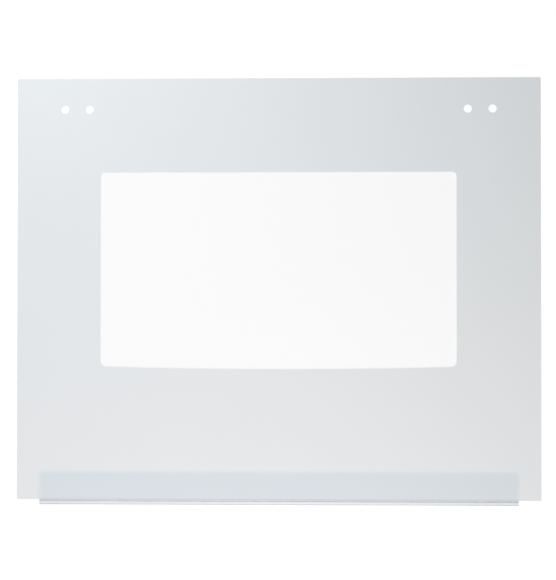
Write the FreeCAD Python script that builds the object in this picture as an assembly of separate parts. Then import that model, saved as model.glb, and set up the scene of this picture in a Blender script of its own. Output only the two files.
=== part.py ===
import FreeCAD, Part
import os
from FreeCAD import Vector as V

# Outer door glass of a built-in oven, lying on its back on the floor.
# Frame: X is the width, +Y points to the glass's top edge, +Z is the outward
# normal of the front face. The origin is at the middle of the bottom of the
# whole part's box. All lengths in millimetres.

# ---------------------------------------------------------------- glass sheet
GLASS_W = 673.0          # width, 26 1/2 in, for a 27 in wide built-in oven
GLASS_H = 542.0          # height
GLASS_T = 4.8            # thickness, 3/16 in toughened float glass
CORNER_R = 2.0           # the sheet's four corners, seen from the front
EDGE_R_FRONT = 1.2       # ground and polished rim, rounded over to the front
EDGE_R_BACK = 0.5        # and only seamed at the back

# handle screw holes: two pairs on one line below the top edge
HOLE_D = 10.3            # 13/32 in
HOLE_PITCH = 31.75       # between the two holes of a pair, 1 1/4 in
PAIR_X = 259.1           # middle of each pair from the centre line
HOLE_DROP = 40.0         # hole centres below the top edge
HOLE_ARRIS = 0.4         # drilled rims are seamed, both faces

# white enamel border printed on the flat of the sheet's back and fired: it
# runs out to the seamed rim, and leaves the window and the holes clear
PRINT_T = 0.1
PRINT_INSET = EDGE_R_BACK
PRINT_CORNER_R = CORNER_R - PRINT_INSET
PRINT_HOLE_D = 11.1      # its openings round the holes

WIN_W = 457.4            # window, clear glass
WIN_TOP = 121.0          # window's top edge below the sheet's top edge
WIN_SIDE_H = 250.1       # window's height at its sides
WIN_BOW = 3.3            # its lower edge bows down by this at the middle
WIN_R_TOP = 5.5
WIN_R_BOTTOM = 7.5

# ------------------------------------------- retaining strip along the bottom
STRIP_L = 615.0          # length
STRIP_T = 0.9            # zinc coated sheet steel
STRIP_UP = 35.6          # bonded on the back, this far above the glass's edge
STRIP_DOWN = 6.2         # tongue, this far below the glass's edge
HEM_H = 4.2              # tongue's lower edge is folded forward and up
HEM_GAP = 0.2            # slit left inside the fold
STRIP_CORNER_R = 1.5     # snipped corners at the top of the web

# ------------------------------------------------------------ derived heights
Z_STRIP_BACK = 0.0
Z_STRIP_FRONT = Z_STRIP_BACK + STRIP_T
Z_PRINT_BACK = Z_STRIP_FRONT
Z_GLASS_BACK = Z_PRINT_BACK + PRINT_T
Z_GLASS_FRONT = Z_GLASS_BACK + GLASS_T

# whole box in Y: tongue's lower edge to the glass's top edge, centred on 0
Y_TOP = (GLASS_H + STRIP_DOWN) / 2.0
Y_BOTTOM = Y_TOP - GLASS_H               # glass's bottom edge
Y_TONGUE = Y_BOTTOM - STRIP_DOWN         # tongue's lower edge
Y_MID = (Y_TOP + Y_BOTTOM) / 2.0         # glass's own middle

HOLES = [(sx * (PAIR_X + k * HOLE_PITCH / 2.0), Y_TOP - HOLE_DROP)
         for sx in (-1, 1) for k in (-1, 1)]


def upright(shape, at=None, tol=0.05):
    """Straight edges parallel to Z, all or only those at the points given."""
    found = []
    for e in shape.Edges:
        a, b = e.Vertexes[0].Point, e.Vertexes[-1].Point
        if abs(a.z - b.z) < 1e-6 or abs(a.x - b.x) > 1e-6 or abs(a.y - b.y) > 1e-6:
            continue
        if at is None or any(abs(a.x - p[0]) < tol and abs(a.y - p[1]) < tol for p in at):
            found.append(e)
    return found


def level(shape, z):
    """Edges that lie wholly at height z."""
    return [e for e in shape.Edges
            if abs(e.BoundBox.ZMin - z) < 1e-6 and abs(e.BoundBox.ZMax - z) < 1e-6]


def rounded_slab(w, h, t, yc, z0, r):
    slab = Part.makeBox(w, h, t, V(-w / 2.0, yc - h / 2.0, z0))
    return slab.makeFillet(r, upright(slab))


def window_prism(z0, t):
    """The window's outline, with its bowed lower edge, pulled up along Z."""
    x = WIN_W / 2.0
    top = Y_TOP - WIN_TOP
    low = top - WIN_SIDE_H
    tl, tr, br, bl = V(-x, top, z0), V(x, top, z0), V(x, low, z0), V(-x, low, z0)
    bow = Part.Arc(br, V(0, low - WIN_BOW, z0), bl)
    wire = Part.Wire([Part.LineSegment(tl, tr).toShape(),
                      Part.LineSegment(tr, br).toShape(),
                      bow.toShape(),
                      Part.LineSegment(bl, tl).toShape()])
    solid = Part.Face(wire).extrude(V(0, 0, t))
    solid = solid.makeFillet(WIN_R_TOP, upright(solid, [(-x, top), (x, top)]))
    solid = solid.makeFillet(WIN_R_BOTTOM, upright(solid, [(-x, low), (x, low)]))
    return solid


def door_glass():
    # the sheet with its ground rim
    body = rounded_slab(GLASS_W, GLASS_H, GLASS_T, Y_MID, Z_GLASS_BACK, CORNER_R)
    body = body.makeFillet(EDGE_R_FRONT, level(body, Z_GLASS_FRONT))
    body = body.makeFillet(EDGE_R_BACK, level(body, Z_GLASS_BACK))

    # drilled holes with seamed rims
    r = HOLE_D / 2.0
    for x, y in HOLES:
        body = body.cut(Part.makeCylinder(r, GLASS_T + 4.0, V(x, y, Z_GLASS_BACK - 2.0)))
        body = body.cut(Part.makeCone(r + HOLE_ARRIS, r, HOLE_ARRIS, V(x, y, Z_GLASS_BACK)))
        body = body.cut(Part.makeCone(r, r + HOLE_ARRIS, HOLE_ARRIS,
                                      V(x, y, Z_GLASS_FRONT - HOLE_ARRIS)))
    return body


def enamel_border():
    # the print, with the window and the handle holes left out of it
    body = rounded_slab(GLASS_W - 2 * PRINT_INSET, GLASS_H - 2 * PRINT_INSET,
                        PRINT_T, Y_MID, Z_PRINT_BACK, PRINT_CORNER_R)
    body = body.cut(window_prism(Z_PRINT_BACK - 1.0, PRINT_T + 2.0))
    for x, y in HOLES:
        body = body.cut(Part.makeCylinder(PRINT_HOLE_D / 2.0, PRINT_T + 2.0,
                                          V(x, y, Z_PRINT_BACK - 1.0)))
    return body


def bottom_strip():
    # web and tongue: one flat blank, its top corners snipped round
    w = STRIP_L / 2.0
    y1 = Y_BOTTOM + STRIP_UP
    y_fold = Y_TONGUE + STRIP_T + HEM_GAP / 2.0          # centre line of the fold
    web = Part.makeBox(STRIP_L, y1 - y_fold, STRIP_T, V(-w, y_fold, Z_STRIP_BACK))
    web = web.makeFillet(STRIP_CORNER_R, upright(web, [(-w, y1), (w, y1)]))

    # hem: half a turn forward round the slit, then up towards the glass's edge
    z_c = Z_STRIP_FRONT + HEM_GAP / 2.0
    r_out = STRIP_T + HEM_GAP / 2.0
    r_in = HEM_GAP / 2.0
    ring = Part.makeCylinder(r_out, STRIP_L, V(-w, y_fold, z_c), V(1, 0, 0))
    ring = ring.cut(Part.makeCylinder(r_in, STRIP_L, V(-w, y_fold, z_c), V(1, 0, 0)))
    ring = ring.common(Part.makeBox(STRIP_L, r_out, 2 * r_out, V(-w, y_fold - r_out, z_c - r_out)))
    flap = Part.makeBox(STRIP_L, Y_TONGUE + HEM_H - y_fold, STRIP_T,
                        V(-w, y_fold, Z_STRIP_FRONT + HEM_GAP))
    return web.fuse([ring, flap]).removeSplitter()


NODES = {"door_glass": door_glass(), "enamel_border": enamel_border(),
         "bottom_strip": bottom_strip()}

os.makedirs("parts", exist_ok=True)
for name, shape in NODES.items():
    if shape.ShapeType == "Compound" and len(shape.Solids) == 1:
        shape = shape.Solids[0]
    b = shape.BoundBox
    print(name, "valid", shape.isValid(), "solids", len(shape.Solids), "faces", len(shape.Faces),
          "volume %.1f mm3" % shape.Volume,
          "box %.2f..%.2f  %.2f..%.2f  %.2f..%.2f" % (b.XMin, b.XMax, b.YMin, b.YMax, b.ZMin, b.ZMax))
    shape.exportStep("parts/" + name + ".step")
names = list(NODES)
for i, a in enumerate(names):
    for b in names[i + 1:]:
        print("overlap of %s and %s: %.4f mm3" % (a, b, NODES[a].common(NODES[b]).Volume))
print("glass bottom edge y %.2f, top edge y %.2f, front z %.2f" % (Y_BOTTOM, Y_TOP, Z_GLASS_FRONT))
print("holes", [(round(x, 2), round(y, 2)) for x, y in HOLES])
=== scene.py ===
import math

import bpy
from mathutils import Matrix, Vector
from mathutils.geometry import delaunay_2d_cdt


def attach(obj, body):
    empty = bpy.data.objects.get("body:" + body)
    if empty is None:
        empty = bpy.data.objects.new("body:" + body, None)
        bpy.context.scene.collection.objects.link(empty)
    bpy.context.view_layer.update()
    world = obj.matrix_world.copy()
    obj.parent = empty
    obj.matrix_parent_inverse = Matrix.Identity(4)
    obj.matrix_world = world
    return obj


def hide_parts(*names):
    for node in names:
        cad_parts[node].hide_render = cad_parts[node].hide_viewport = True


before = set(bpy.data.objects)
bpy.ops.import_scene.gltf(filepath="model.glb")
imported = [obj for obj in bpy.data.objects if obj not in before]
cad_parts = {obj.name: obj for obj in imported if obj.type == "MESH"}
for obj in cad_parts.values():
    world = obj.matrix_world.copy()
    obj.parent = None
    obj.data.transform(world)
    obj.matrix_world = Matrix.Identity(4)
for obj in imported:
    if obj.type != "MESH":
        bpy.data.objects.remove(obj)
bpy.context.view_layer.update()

# ------------------------------------------------------------------ sizes, mm
MM = 0.001
GLASS_W, GLASS_H, GLASS_T = 673.0, 542.0, 4.8
CORNER_R, EDGE_R_FRONT, EDGE_R_BACK = 2.0, 1.2, 0.5
HOLE_R, HOLE_ARRIS = 5.15, 0.4
PRINT_INSET, PRINT_CORNER_R, PRINT_HOLE_R = 0.5, 1.5, 5.55
WIN_W, WIN_TOP, WIN_SIDE_H, WIN_BOW = 457.4, 121.0, 250.1, 3.3
WIN_R_TOP, WIN_R_BOTTOM = 5.5, 7.5
STRIP_L, STRIP_T, STRIP_UP, STRIP_DOWN = 615.0, 0.9, 35.6, 6.2
HEM_H, HEM_GAP, STRIP_CORNER_R = 4.2, 0.2, 1.5
Z_WEB, Z_PRINT, Z_BACK = 0.9, 0.9, 1.0
Z_FRONT = Z_BACK + GLASS_T
Y_TOP = (GLASS_H + STRIP_DOWN) / 2
Y_BOTTOM = Y_TOP - GLASS_H
Y_TONGUE = Y_BOTTOM - STRIP_DOWN
Y_MID = (Y_TOP + Y_BOTTOM) / 2
HOLES = [(sx * (259.1 + k * 31.75 / 2), Y_TOP - 40.0) for sx in (-1, 1) for k in (-1, 1)]
FUSED = 0.02                    # the print is fired this far into the glass

scene = bpy.context.scene
collection = scene.collection


# -------------------------------------------------------------------- meshes
def ring_rect(w, h, r, yc, d=0.0, seg=10):
    """Counter-clockwise points and outward normals of a rounded rectangle shrunk by d."""
    out = []
    for sx, sy, a0 in ((-1, -1, 180), (1, -1, 270), (1, 1, 0), (-1, 1, 90)):
        cx, cy = sx * (w / 2 - r), yc + sy * (h / 2 - r)
        for i in range(seg + 1):
            a = math.radians(a0 + 90 * i / seg)
            n = (math.cos(a), math.sin(a))
            out.append((cx + (r - d) * n[0], cy + (r - d) * n[1], n[0], n[1]))
    return out


def ring_circle(x, y, r, seg=72):
    """Counter-clockwise circle. Its normals point to the axis: it bounds a hole."""
    out = []
    for i in range(seg):
        a = 2 * math.pi * i / seg
        out.append((x + r * math.cos(a), y + r * math.sin(a), -math.cos(a), -math.sin(a)))
    return out


def ring_window(seg=12, bow_seg=72):
    """The window's outline, counter-clockwise, its normals pointing into the window."""
    x, top = WIN_W / 2, Y_TOP - WIN_TOP
    low = top - WIN_SIDE_H
    rho = (x * x + WIN_BOW ** 2) / (2 * WIN_BOW)
    yc = low - WIN_BOW + rho
    fx = x - WIN_R_BOTTOM
    fy = yc - math.sqrt((rho - WIN_R_BOTTOM) ** 2 - fx * fx)
    th = math.atan2(fy - yc, fx)
    pts = []
    for i in range(1, bow_seg):                              # bowed lower edge
        a = -math.pi - th + (2 * th + math.pi) * i / bow_seg
        pts.append((rho * math.cos(a), yc + rho * math.sin(a), -math.cos(a), -math.sin(a)))
    for i in range(seg + 1):                                 # lower right corner
        a = th + (0 - th) * i / seg
        pts.append((fx + WIN_R_BOTTOM * math.cos(a), fy + WIN_R_BOTTOM * math.sin(a),
                    -math.cos(a), -math.sin(a)))
    for sx, a0 in ((1, 0), (-1, 90)):                        # upper corners
        for i in range(seg + 1):
            a = math.radians(a0 + 90 * i / seg)
            pts.append((sx * (x - WIN_R_TOP) + WIN_R_TOP * math.cos(a),
                        top - WIN_R_TOP + WIN_R_TOP * math.sin(a),
                        -math.cos(a), -math.sin(a)))
    for i in range(seg + 1):                                 # lower left corner
        a = -math.pi + (math.pi / 2 - (math.pi / 2 + th)) * i / seg
        pts.append((-fx + WIN_R_BOTTOM * math.cos(a), fy + WIN_R_BOTTOM * math.sin(a),
                    -math.cos(a), -math.sin(a)))
    return pts


class Shell:
    """Gathers faces with a normal of their own at every corner."""

    def __init__(self):
        self.points, self.faces, self.normals, self.slots = [], [], [], []

    def add(self, x, y, z):
        self.points.append((x * MM, y * MM, z * MM))
        return len(self.points) - 1

    def face(self, corners, normals, slot=0):
        self.faces.append(tuple(corners))
        self.normals.append([tuple(n) for n in normals])
        self.slots.append(slot)

    def cap(self, outer, holes, z, up, slot=0, place=None):
        """A flat face with holes. outer and holes are lists of (index, x, y)."""
        loops = [outer] + holes
        flat = [p for loop in loops for p in loop]
        edges, at = [], 0
        for loop in loops:
            n = len(loop)
            edges += [(at + i, at + (i + 1) % n) for i in range(n)]
            at += n
        co, _, tris, source, _, _ = delaunay_2d_cdt(
            [Vector((p[1], p[2])) for p in flat], edges, [], 1, 1e-6)
        for t in tris:
            c = sum((co[i] for i in t), Vector((0, 0))) / 3
            if any(inside(c, hole) for hole in holes) or not inside(c, outer):
                continue
            ids = [flat[source[i][0]][0] for i in t]
            area = ((co[t[1]] - co[t[0]]).cross(co[t[2]] - co[t[0]]))
            if (area > 0) != up:
                ids.reverse()
            self.face(ids, [(0, 0, 1 if up else -1)] * 3, slot)

    def build(self, name, materials):
        mesh = bpy.data.meshes.new(name)
        mesh.from_pydata(self.points, [], self.faces)
        for m in materials:
            mesh.materials.append(m)
        mesh.polygons.foreach_set("material_index", self.slots)
        mesh.polygons.foreach_set("use_smooth", [True] * len(self.faces))
        mesh.update()
        mesh.normals_split_custom_set([n for f in self.normals for n in f])
        obj = bpy.data.objects.new(name, mesh)
        collection.objects.link(obj)
        return obj


def inside(p, loop):
    hit, n = False, len(loop)
    for i in range(n):
        ax, ay = loop[i][1], loop[i][2]
        bx, by = loop[(i + 1) % n][1], loop[(i + 1) % n][2]
        if (ay > p.y) != (by > p.y) and p.x < (bx - ax) * (p.y - ay) / (by - ay) + ax:
            hit = not hit
    return hit


def wall(shell, rings, outward, slot=0):
    """Quads between rings of (index, x, y, nx, ny, nz), listed from the top down."""
    for upper, lower in zip(rings, rings[1:]):
        n = len(upper)
        for i in range(n):
            j = (i + 1) % n
            quad = [upper[i], lower[i], lower[j], upper[j]]
            if not outward:
                quad.reverse()
            shell.face([q[0] for q in quad], [q[3:6] for q in quad], slot)


def rounded_rings(shell, ring_at, r1, r0, z1, z0, seg=8):
    """Rings down a wall from z1 to z0 whose top edge is rounded with radius r1 and whose bottom edge with r0. ring_at(d) is the outline shrunk by d."""
    steps = [(90 - 90 * i / seg, z1 - r1, r1) for i in range(seg + 1)]
    steps += [(-90 * i / seg, z0 + r0, r0) for i in range(seg + 1)]
    rings = []
    for deg, zc, r in steps:
        a = math.radians(deg)
        c, s = math.cos(a), math.sin(a)
        z = zc + r * s
        ring = []
        for x, y, nx, ny in ring_at(r * (1 - c)):
            ring.append((shell.add(x, y, z), x, y, nx * c, ny * c, s))
        rings.append(ring)
    return rings


def make_glass(materials):
    """The toughened sheet: polished faces, round ground rim, four drilled and seamed holes."""
    s = Shell()
    rim = rounded_rings(s, lambda d: ring_rect(GLASS_W, GLASS_H, CORNER_R, Y_MID, d),
                        EDGE_R_FRONT, EDGE_R_BACK, Z_FRONT, Z_BACK)
    wall(s, rim, True, slot=1)
    drilled = []
    for x, y in HOLES:
        rings = rounded_rings(s, lambda d, x=x, y=y: ring_circle(x, y, HOLE_R + d),
                              HOLE_ARRIS, HOLE_ARRIS, Z_FRONT, Z_BACK, seg=5)
        wall(s, rings, False, slot=1)
        drilled.append(rings)
    for k, z, up in ((0, Z_FRONT, True), (-1, Z_BACK, False)):
        s.cap([p[:3] for p in rim[k]], [[p[:3] for p in d[k]] for d in drilled], z, up)
    ground, s.slots = s.slots, [0] * len(s.slots)
    obj = s.build("glass_sheet", materials)
    obj.data.attributes.new("ground", "FLOAT", "FACE").data.foreach_set("value", [float(g) for g in ground])
    return obj


def make_print(materials):
    """The fired enamel border on the back of the sheet."""
    s = Shell()
    z1, z0 = Z_BACK + FUSED, Z_PRINT
    outlines = [(ring_rect(GLASS_W - 2 * PRINT_INSET, GLASS_H - 2 * PRINT_INSET,
                           PRINT_CORNER_R, Y_MID, seg=8), True)]
    outlines += [(ring_circle(x, y, PRINT_HOLE_R), False) for x, y in HOLES]
    outlines += [(ring_window(), False)]
    tops, bottoms = [], []
    for ring, outward in outlines:
        rings = [[(s.add(x, y, z), x, y, nx, ny, 0.0) for x, y, nx, ny in ring] for z in (z1, z0)]
        wall(s, rings, outward)
        tops.append([p[:3] for p in rings[0]])
        bottoms.append([p[:3] for p in rings[1]])
    s.cap(tops[0], tops[1:], z1, True)
    s.cap(bottoms[0], bottoms[1:], z0, False)
    return s.build("enamel_print", materials)


def strip_profile(top):
    """The strip's section as pieces of (y, z, ny, nz), each piece smooth, in order round the section."""
    r_out, r_in = STRIP_T + HEM_GAP / 2, HEM_GAP / 2
    yf, zc = Y_TONGUE + r_out, STRIP_T + HEM_GAP / 2
    flap = Y_TONGUE + HEM_H
    b = 0.12                                            # burr taken off the sheared edges
    pieces = [[(top - b, 0.0, 0, -1), (yf, 0.0, 0, -1)]]
    pieces[-1] += [(yf - r_out * math.sin(a), zc - r_out * math.cos(a), -math.sin(a), -math.cos(a))
                   for a in (math.pi * i / 24 for i in range(1, 25))]
    # the flap's face crowns a little and rolls over towards the web at its upper end
    n, roll = 10, 0.42
    y0, y1 = yf, flap - roll
    for i in range(1, n + 1):
        t = i / n
        lean = 0.10 * t * t
        slope = 0.20 * t / (y1 - y0)
        k = math.hypot(1, slope)
        pieces[-1].append((y0 + (y1 - y0) * t, 2 * zc - lean, slope / k, 1 / k))
    a0 = math.atan2(1, 0.20 / (y1 - y0))
    cy, cz = y1 - roll * math.cos(a0), 2 * zc - 0.10 - roll * math.sin(a0)
    for i in range(1, 9):
        a = a0 * (1 - i / 8)
        pieces[-1].append((cy + roll * math.cos(a), cz + roll * math.sin(a), math.cos(a), math.sin(a)))
    ye, ze = pieces[-1][-1][0], STRIP_T + HEM_GAP
    pieces[-1].append((ye, ze + b, 1, 0))
    pieces.append([(ye, ze + b, .7, -.7), (ye - b, ze, .7, -.7)])
    pieces.append([(ye - b, ze, 0, -1), (yf, ze, 0, -1)])
    pieces[-1] += [(yf - r_in * math.sin(a), zc + r_in * math.cos(a), math.sin(a), -math.cos(a))
                   for a in (math.pi * i / 12 for i in range(1, 13))]
    pieces[-1].append((top - b, STRIP_T, 0, 1))
    pieces.append([(top - b, STRIP_T, .7, .7), (top, STRIP_T - b, .7, .7)])
    pieces.append([(top, STRIP_T - b, 1, 0), (top, b, 1, 0)])
    pieces.append([(top, b, .7, -.7), (top - b, 0.0, .7, -.7)])
    return pieces


def make_strip(materials):
    """The bonded steel strip: flat web, tongue, folded hem."""
    s = Shell()
    w, y1, r = STRIP_L / 2, Y_BOTTOM + STRIP_UP, STRIP_CORNER_R
    ends = [-w + r * (1 - math.cos(math.radians(90 * i / 8))) for i in range(9)]
    xs = ends + [-w + r + (STRIP_L - 2 * r) * i / 40 for i in range(1, 40)] + [-x for x in reversed(ends)]
    sections = []
    for x in xs:
        dx = max(0.0, r - (x + w), r - (w - x))
        top = y1 - (r - math.sqrt(max(0.0, r * r - dx * dx)))
        rows, loop = [], []
        for piece in strip_profile(top):
            row = []
            for y, z, ny, nz in piece:
                if loop and abs(loop[-1][1] - y) < 1e-7 and abs(loop[-1][2] - z) < 1e-7:
                    i = loop[-1][0]
                elif loop and abs(loop[0][1] - y) < 1e-7 and abs(loop[0][2] - z) < 1e-7:
                    i = loop[0][0]
                else:
                    i = s.add(x, y, z)
                    loop.append((i, y, z))
                row.append((i, ny, nz))
            rows.append(row)
        sections.append((rows, loop))
    for (ra, _), (rb, _) in zip(sections, sections[1:]):
        for pa, pb in zip(ra, rb):
            for k in range(len(pa) - 1):
                a0, a1, b0, b1 = pa[k], pa[k + 1], pb[k], pb[k + 1]
                s.face([a0[0], b0[0], b1[0], a1[0]],
                       [(0, q[1], q[2]) for q in (a0, b0, b1, a1)])
    for (_, loop), side in ((sections[0], -1), (sections[-1], 1)):
        co, _, tris, source, _, _ = delaunay_2d_cdt(
            [Vector((p[1], p[2])) for p in loop],
            [(i, (i + 1) % len(loop)) for i in range(len(loop))], [], 1, 1e-7)
        for t in tris:
            c = sum((co[i] for i in t), Vector((0, 0))) / 3
            if not inside(c, loop):
                continue
            ids = [loop[source[i][0]][0] for i in t]
            if ((co[t[1]] - co[t[0]]).cross(co[t[2]] - co[t[0]]) > 0) != (side > 0):
                ids.reverse()
            s.face(ids, [(side, 0, 0)] * 3)
    return s.build("steel_strip", materials)


# ----------------------------------------------------------------- materials
class Tree:
    """Short calls for building a node material."""

    def __init__(self, name):
        self.material = bpy.data.materials.new(name)
        self.material.use_nodes = True
        self.nt = self.material.node_tree
        self.nt.nodes.clear()
        self.out = self.node("ShaderNodeOutputMaterial")

    def node(self, kind, inputs=None, **props):
        n = self.nt.nodes.new(kind)
        for k, v in props.items():
            setattr(n, k, v)
        for k, v in (inputs or {}).items():
            self.put(n.inputs[k], v)
        return n

    def put(self, socket, v):
        if hasattr(v, "links"):
            self.nt.links.new(v, socket)
        elif hasattr(v, "outputs"):
            self.nt.links.new(v.outputs[0], socket)
        else:
            socket.default_value = v

    def math(self, op, a, b=0.0, clamp=False):
        return self.node("ShaderNodeMath", {0: a, 1: b}, operation=op, use_clamp=clamp).outputs[0]

    def spread(self, value, lo, hi, to_lo, to_hi, smooth=False):
        return self.node("ShaderNodeMapRange", {0: value, 1: lo, 2: hi, 3: to_lo, 4: to_hi},
                         interpolation_type="SMOOTHSTEP" if smooth else "LINEAR").outputs[0]

    def mix(self, factor, a, b, blend="MIX"):
        n = self.node("ShaderNodeMix", data_type="RGBA", blend_type=blend)
        self.put(n.inputs[0], factor)
        self.put(n.inputs[6], a)
        self.put(n.inputs[7], b)
        return n.outputs[2]

    def noise(self, where, scale, detail=2.0, rough=0.5, distortion=0.0):
        return self.node("ShaderNodeTexNoise", {"Vector": where, "Scale": scale, "Detail": detail,
                                                "Roughness": rough, "Distortion": distortion}).outputs[0]

    def place(self, scale=(1, 1, 1), rotation=(0, 0, 0)):
        t = self.node("ShaderNodeTexCoord").outputs["Object"]
        return self.node("ShaderNodeMapping", {"Vector": t, "Scale": scale, "Rotation": rotation}).outputs[0]

    def bump(self, height, strength, distance):
        return self.node("ShaderNodeBump", {"Strength": strength, "Distance": distance,
                                            "Height": height}).outputs[0]


def glass_material():
    """Float glass, polished on its faces and satin where its rim and holes are ground. It is faintly green through its depth, which shows from the side. Lamps shine through it, so what lies under it is lit."""
    t = Tree("clear_glass")
    where = t.place()
    ground = t.node("ShaderNodeAttribute", attribute_name="ground").outputs["Fac"]
    polish = t.spread(t.noise(where, 40.0, 4.0, 0.6), 0.35, 0.8, 0.0, 0.012)
    satin = t.spread(t.noise(where, 700.0, 4.0, 0.6), 0.35, 0.8, 0.30, 0.50)
    rough = t.node("ShaderNodeMix", {0: ground, 2: polish, 3: satin}, data_type="FLOAT").outputs[0]
    grain = t.math("MULTIPLY", t.noise(where, 4200.0, 3.0, 0.6), ground)
    body = t.node("ShaderNodeBsdfPrincipled", {
        "Base Color": GLASS_TINT, "Roughness": rough, "IOR": 1.52, "Transmission Weight": 1.0,
        "Normal": t.bump(grain, 0.25, 0.0002)})
    clear = t.node("ShaderNodeBsdfTransparent", {"Color": tuple(0.96 * c for c in GLASS_TINT[:3]) + (1,)})
    path = t.node("ShaderNodeLightPath")
    lamps = t.math("MAXIMUM", path.outputs["Is Shadow Ray"], path.outputs["Is Diffuse Ray"])
    through = t.node("ShaderNodeMixShader", {0: lamps, 1: body, 2: clear})
    t.put(t.out.inputs["Surface"], through.outputs[0])
    depth = t.node("ShaderNodeVolumeAbsorption", {"Color": GLASS_DEPTH, "Density": 3.0})
    t.put(t.out.inputs["Volume"], depth.outputs[0])
    return t.material


def enamel_material():
    """White fired enamel, which lets a little light through, so a bright space behind warms it. Over the strip bonded
    behind it, painted shade makes a cooler, softer-edged stripe, for the light from behind that the strip keeps out.
    """
    t = Tree("white_enamel")
    where = t.place()
    xyz = t.node("ShaderNodeSeparateXYZ", {0: where})
    x, y, z = xyz.outputs
    # distance in metres inside the strip's web: positive within it
    half = t.math("SUBTRACT", STRIP_L / 2 * MM, t.math("ABSOLUTE", x))
    up = t.math("SUBTRACT", (Y_BOTTOM + STRIP_UP) * MM, y)
    soft = 4.2 * MM
    strip_shade = t.math("MULTIPLY", t.spread(half, -soft, soft, 0, 1, True), t.spread(up, -soft, soft, 0, 1, True))
    cloud = t.noise(where, 9.0, 3.0, 0.55)
    grain = t.noise(where, 900.0, 2.0, 0.5)
    base = t.mix(t.spread(cloud, 0.3, 0.7, 0, 1), WHITE_A, WHITE_B)
    # painted shade: over the strip behind the print the colour is tinted cooler, with soft edges, for the light from
    # behind that the strip keeps out
    base = t.mix(t.math("MULTIPLY", strip_shade, t.spread(cloud, 0.2, 0.8, 0.94, 1.0)), base,
                 t.mix(1.0, base, STRIP_SHADE_TINT, "MULTIPLY"))
    # along the strip a fine darker line of painted shade runs just above the glass's bottom edge: the shaded recess
    # under the edge, and the dark bond in it, seen through the print, which is thin at the seamed rim
    rim_shade_line = t.math("MULTIPLY", t.spread(y, (Y_BOTTOM + 0.9) * MM, (Y_BOTTOM + 1.7) * MM, 1, 0, True),
                  t.spread(half, -0.3 * MM, 0.3 * MM, 0, 1, True))
    base = t.mix(t.math("MULTIPLY", rim_shade_line, t.spread(cloud, 0.2, 0.8, 0.85, 1.0)), base,
                 t.mix(1.0, base, (0.83, 0.845, 0.85, 1), "MULTIPLY"))
    base = t.mix(t.spread(grain, 0.62, 0.8, 0.0, 0.05), base, (0.42, 0.43, 0.44, 1))
    # the back of the print is matter and shows the screen's weave
    weave = t.math("MULTIPLY", t.math("SINE", t.math("MULTIPLY", x, 2 * math.pi / 0.0004)),
                   t.math("SINE", t.math("MULTIPLY", y, 2 * math.pi / 0.0004)))
    back = t.math("LESS_THAN", z, (Z_PRINT + 0.02) * MM)
    rough = t.spread(back, 0, 1, 0.28, 0.5)
    rough = t.math("ADD", rough, t.spread(grain, 0.3, 0.7, -0.03, 0.03))
    height = t.math("ADD", t.math("MULTIPLY", weave, t.math("MULTIPLY", back, 0.3)), t.noise(where, 260.0, 3.0))
    shader = t.node("ShaderNodeBsdfPrincipled", {
        "Base Color": base, "Roughness": rough, "IOR": 1.5, "Specular IOR Level": 0.25,
        "Normal": t.bump(height, 0.05, 0.0001)})
    t.put(t.out.inputs["Surface"], shader.outputs[0])
    return t.material


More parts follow.
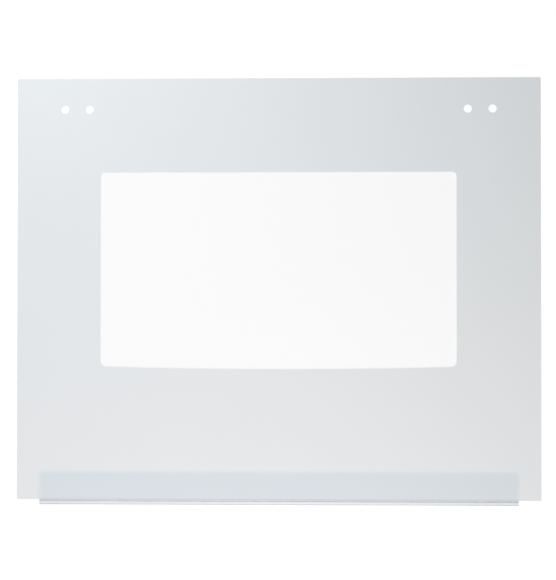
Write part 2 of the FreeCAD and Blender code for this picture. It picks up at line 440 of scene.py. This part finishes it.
def zinc_material():
    """Bright zinc coated sheet: rolled along its length, faint spangle, rougher at the bend, with painted shade on the
    bend and in the recess under the glass's edge.
    """
    t = Tree("zinc_steel")
    where = t.place()
    rolled = t.noise(t.place(scale=(6, 900, 900)), 1.0, 4.0, 0.6)
    spangle = t.node("ShaderNodeTexVoronoi", {"Vector": t.place(scale=(1, 1, 1)), "Scale": 260.0,
                                              "Randomness": 1.0}, feature="F1")
    flake = t.node("ShaderNodeSeparateColor", {0: spangle.outputs["Color"]}).outputs[0]
    cloud = t.noise(where, 30.0, 4.0, 0.6)
    z = t.node("ShaderNodeSeparateXYZ", {0: where}).outputs[2]
    y = t.node("ShaderNodeSeparateXYZ", {0: where}).outputs[1]
    base = t.mix(t.spread(rolled, 0.3, 0.7, 0, 1), (0.725, 0.768, 0.783, 1), (0.775, 0.812, 0.825, 1))
    base = t.mix(t.spread(flake, 0, 1, 0.0, 0.22), base, (0.83, 0.86, 0.87, 1))
    base = t.mix(t.spread(cloud, 0.35, 0.8, 0, 0.25), base, (0.67, 0.70, 0.715, 1))
    # painted shade: the bend, which faces down, is painted darker and made rougher; the recess under the glass's edge,
    # which the glass and the flap shade, is painted darker over a grey smear of bond
    fold_shade = t.spread(y, (Y_TONGUE + 0.55) * MM, (Y_TONGUE + 1.25) * MM, 1, 0, True)
    gap_shade = t.math("MULTIPLY", t.spread(z, 1.05 * MM, 1.35 * MM, 1, 0, True), t.spread(z, 0.5 * MM, 0.8 * MM, 0, 1, True))
    gap_shade = t.math("MULTIPLY", gap_shade, t.spread(y, (Y_BOTTOM + 0.4) * MM, (Y_BOTTOM + 1.4) * MM, 1, 0, True))
    gap_shade = t.math("MULTIPLY", gap_shade, t.spread(y, (Y_BOTTOM - 1.1) * MM, (Y_BOTTOM - 0.2) * MM, 0, 1, True))
    # painted shade on the downward-facing bend
    base = t.mix(fold_shade, base, (0.60, 0.625, 0.64, 1))
    # painted shade in the recess under the glass's edge, over a grey smear of bond
    base = t.mix(gap_shade, base, t.mix(t.spread(cloud, 0.3, 0.7, 0, 1), (0.565, 0.595, 0.61, 1), (0.60, 0.63, 0.645, 1)))
    rough = t.math("ADD", t.spread(rolled, 0.3, 0.7, 0.58, 0.68), t.spread(flake, 0, 1, -0.03, 0.05))
    rough = t.math("ADD", rough, t.math("MULTIPLY", t.math("MAXIMUM", fold_shade, gap_shade), 0.25))
    height = t.math("ADD", rolled, t.math("MULTIPLY", flake, 0.3))
    shader = t.node("ShaderNodeBsdfPrincipled", {
        "Base Color": base, "Metallic": 1.0, "Roughness": rough,
        "Normal": t.bump(height, 0.12, 0.00005)})
    t.put(t.out.inputs["Surface"], shader.outputs[0])
    return t.material


WHITE_A, WHITE_B = (0.754, 0.789, 0.795, 1), (0.760, 0.795, 0.801, 1)
# the cool tint of the painted shade over the strip behind the print
STRIP_SHADE_TINT = (0.866, 0.913, 0.936, 1)

GLASS_TINT = (0.976, 0.968, 0.971, 1)
GLASS_DEPTH = (0.30, 0.75, 0.55, 1)

glass = glass_material()
enamel = enamel_material()
zinc = zinc_material()

sheet = make_glass([glass])
border = make_print([enamel])
strip = make_strip([zinc])
for piece, node, slot in ((sheet, "door_glass", "clear_glass"),
                          (border, "enamel_border", "white_enamel"),
                          (strip, "bottom_strip", "zinc_steel")):
    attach(piece, "root")
    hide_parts(node)


# --------------------------------------------------------------------- floor
def make_floor():
    t = Tree("floor_white")
    where = t.place()
    tone = t.mix(t.spread(t.noise(where, 1.4, 3.0), 0.3, 0.7, 0, 1), (0.315, 0.315, 0.315, 1), (0.325, 0.325, 0.325, 1))
    shader = t.node("ShaderNodeBsdfPrincipled", {
        "Base Color": tone, "Roughness": 0.9, "Specular IOR Level": 0.0,
        "Emission Color": (1, 1, 1, 1), "Emission Strength": FLOOR_GLOW})
    t.put(t.out.inputs["Surface"], shader.outputs[0])
    mesh = bpy.data.meshes.new("floor")
    r, n = 40.0, 96
    ring = [(r * math.cos(2 * math.pi * i / n), r * math.sin(2 * math.pi * i / n), -0.00005) for i in range(n)]
    mesh.from_pydata(ring, [], [tuple(range(n))])
    mesh.materials.append(t.material)
    floor = bpy.data.objects.new("floor", mesh)
    collection.objects.link(floor)


FLOOR_GLOW = 0.73
make_floor()


# -------------------------------------------------------------------- lights
def area(name, at, towards, size, power, colour):
    lamp = bpy.data.lights.new(name, "AREA")
    lamp.shape, lamp.size = "DISK", size
    lamp.energy, lamp.color = power, colour
    obj = bpy.data.objects.new(name, lamp)
    obj.location = at
    obj.rotation_mode = "QUATERNION"
    obj.rotation_quaternion = (Vector(towards) - Vector(at)).to_track_quat("-Z", "Y")
    collection.objects.link(obj)
    return obj


LIGHTS = {
    "key_left": ((-0.46, 0.66, 0.84), 0.40, 6.04, (0.936, 0.95, 1.0)),
    "fill_front": ((0.05, -1.05, 0.98), 0.80, 13.47, (1.0, 0.902, 0.928)),
}
# the lamps light the print, the steel and the floor, and stay out of the
# glass's mirror, where a small lamp would burn a hard white patch
unmirrored = bpy.data.collections.new("no_lamp_mirror")
unmirrored.objects.link(sheet)
for name, (at, size, power, colour) in LIGHTS.items():
    lamp = area(name, at, (0, 0, 0), size, power, colour)
    lamp.light_linking.receiver_collection = unmirrored
unmirrored.collection_objects[0].light_linking.link_state = "EXCLUDE"

world = bpy.data.worlds.new("studio")
scene.world = world
world.use_nodes = True
nt = world.node_tree
nt.nodes.clear()
room = nt.nodes.new("ShaderNodeBackground")              # the soft light of the studio
room.inputs["Color"].default_value = (0.98, 1.0, 0.986, 1)
room.inputs["Strength"].default_value = 0.433
drop = nt.nodes.new("ShaderNodeBackground")              # the pale backdrop behind the floor
drop.inputs["Color"].default_value = (1.0, 1.0, 1.0, 1)
drop.inputs["Strength"].default_value = 0.87
path = nt.nodes.new("ShaderNodeLightPath")
both = nt.nodes.new("ShaderNodeMixShader")
nt.links.new(path.outputs["Is Camera Ray"], both.inputs[0])
nt.links.new(room.outputs[0], both.inputs[1])
nt.links.new(drop.outputs[0], both.inputs[2])
out = nt.nodes.new("ShaderNodeOutputWorld")
nt.links.new(both.outputs[0], out.inputs["Surface"])

# -------------------------------------------------------------------- camera
# Straight down on the sheet from 2.83 m, a little to the right of its middle
# and below it. Image 556 x 580, focal length 2200 px.
FOCAL_PX, YAW, PITCH, ROLL = 2200.0, 2.310, -1.271, 0.041
SHIFT_MM = (-0.053, -1.693, 2822.50)
cy, sy = math.cos(math.radians(YAW)), math.sin(math.radians(YAW))
cp, sp = math.cos(math.radians(PITCH)), math.sin(math.radians(PITCH))
cr, sr = math.cos(math.radians(ROLL)), math.sin(math.radians(ROLL))
turn = (Matrix(((cr, -sr, 0), (sr, cr, 0), (0, 0, 1)))
        @ Matrix(((1, 0, 0), (0, cp, -sp), (0, sp, cp)))
        @ Matrix(((cy, 0, sy), (0, 1, 0), (-sy, 0, cy)))
        @ Matrix(((1, 0, 0), (0, -1, 0), (0, 0, -1))))
right, down, ahead = turn[0], turn[1], turn[2]
spot = -(turn.transposed() @ Vector(SHIFT_MM)) * MM + Vector((0, Y_MID, Z_FRONT)) * MM
cam = bpy.data.cameras.new("camera")
cam.sensor_fit, cam.sensor_width = "AUTO", 36.0
cam.lens = FOCAL_PX / 580.0 * cam.sensor_width
cam.clip_start, cam.clip_end = 0.05, 100.0
camera = bpy.data.objects.new("camera", cam)
camera.matrix_world = Matrix.Translation(spot) @ Matrix((right, -down, -ahead)).transposed().to_4x4()
collection.objects.link(camera)
scene.camera = camera

scene.view_settings.view_transform = "Standard"
scene.view_settings.look = "None"
scene.view_settings.exposure = 0.0
scene.view_settings.gamma = 1.0
scene.cycles.use_denoising = True
scene.cycles.max_bounces = 12
scene.cycles.transmission_bounces = 12
scene.cycles.transparent_max_bounces = 16
scene.cycles.caustics_reflective = False
scene.cycles.caustics_refractive = False
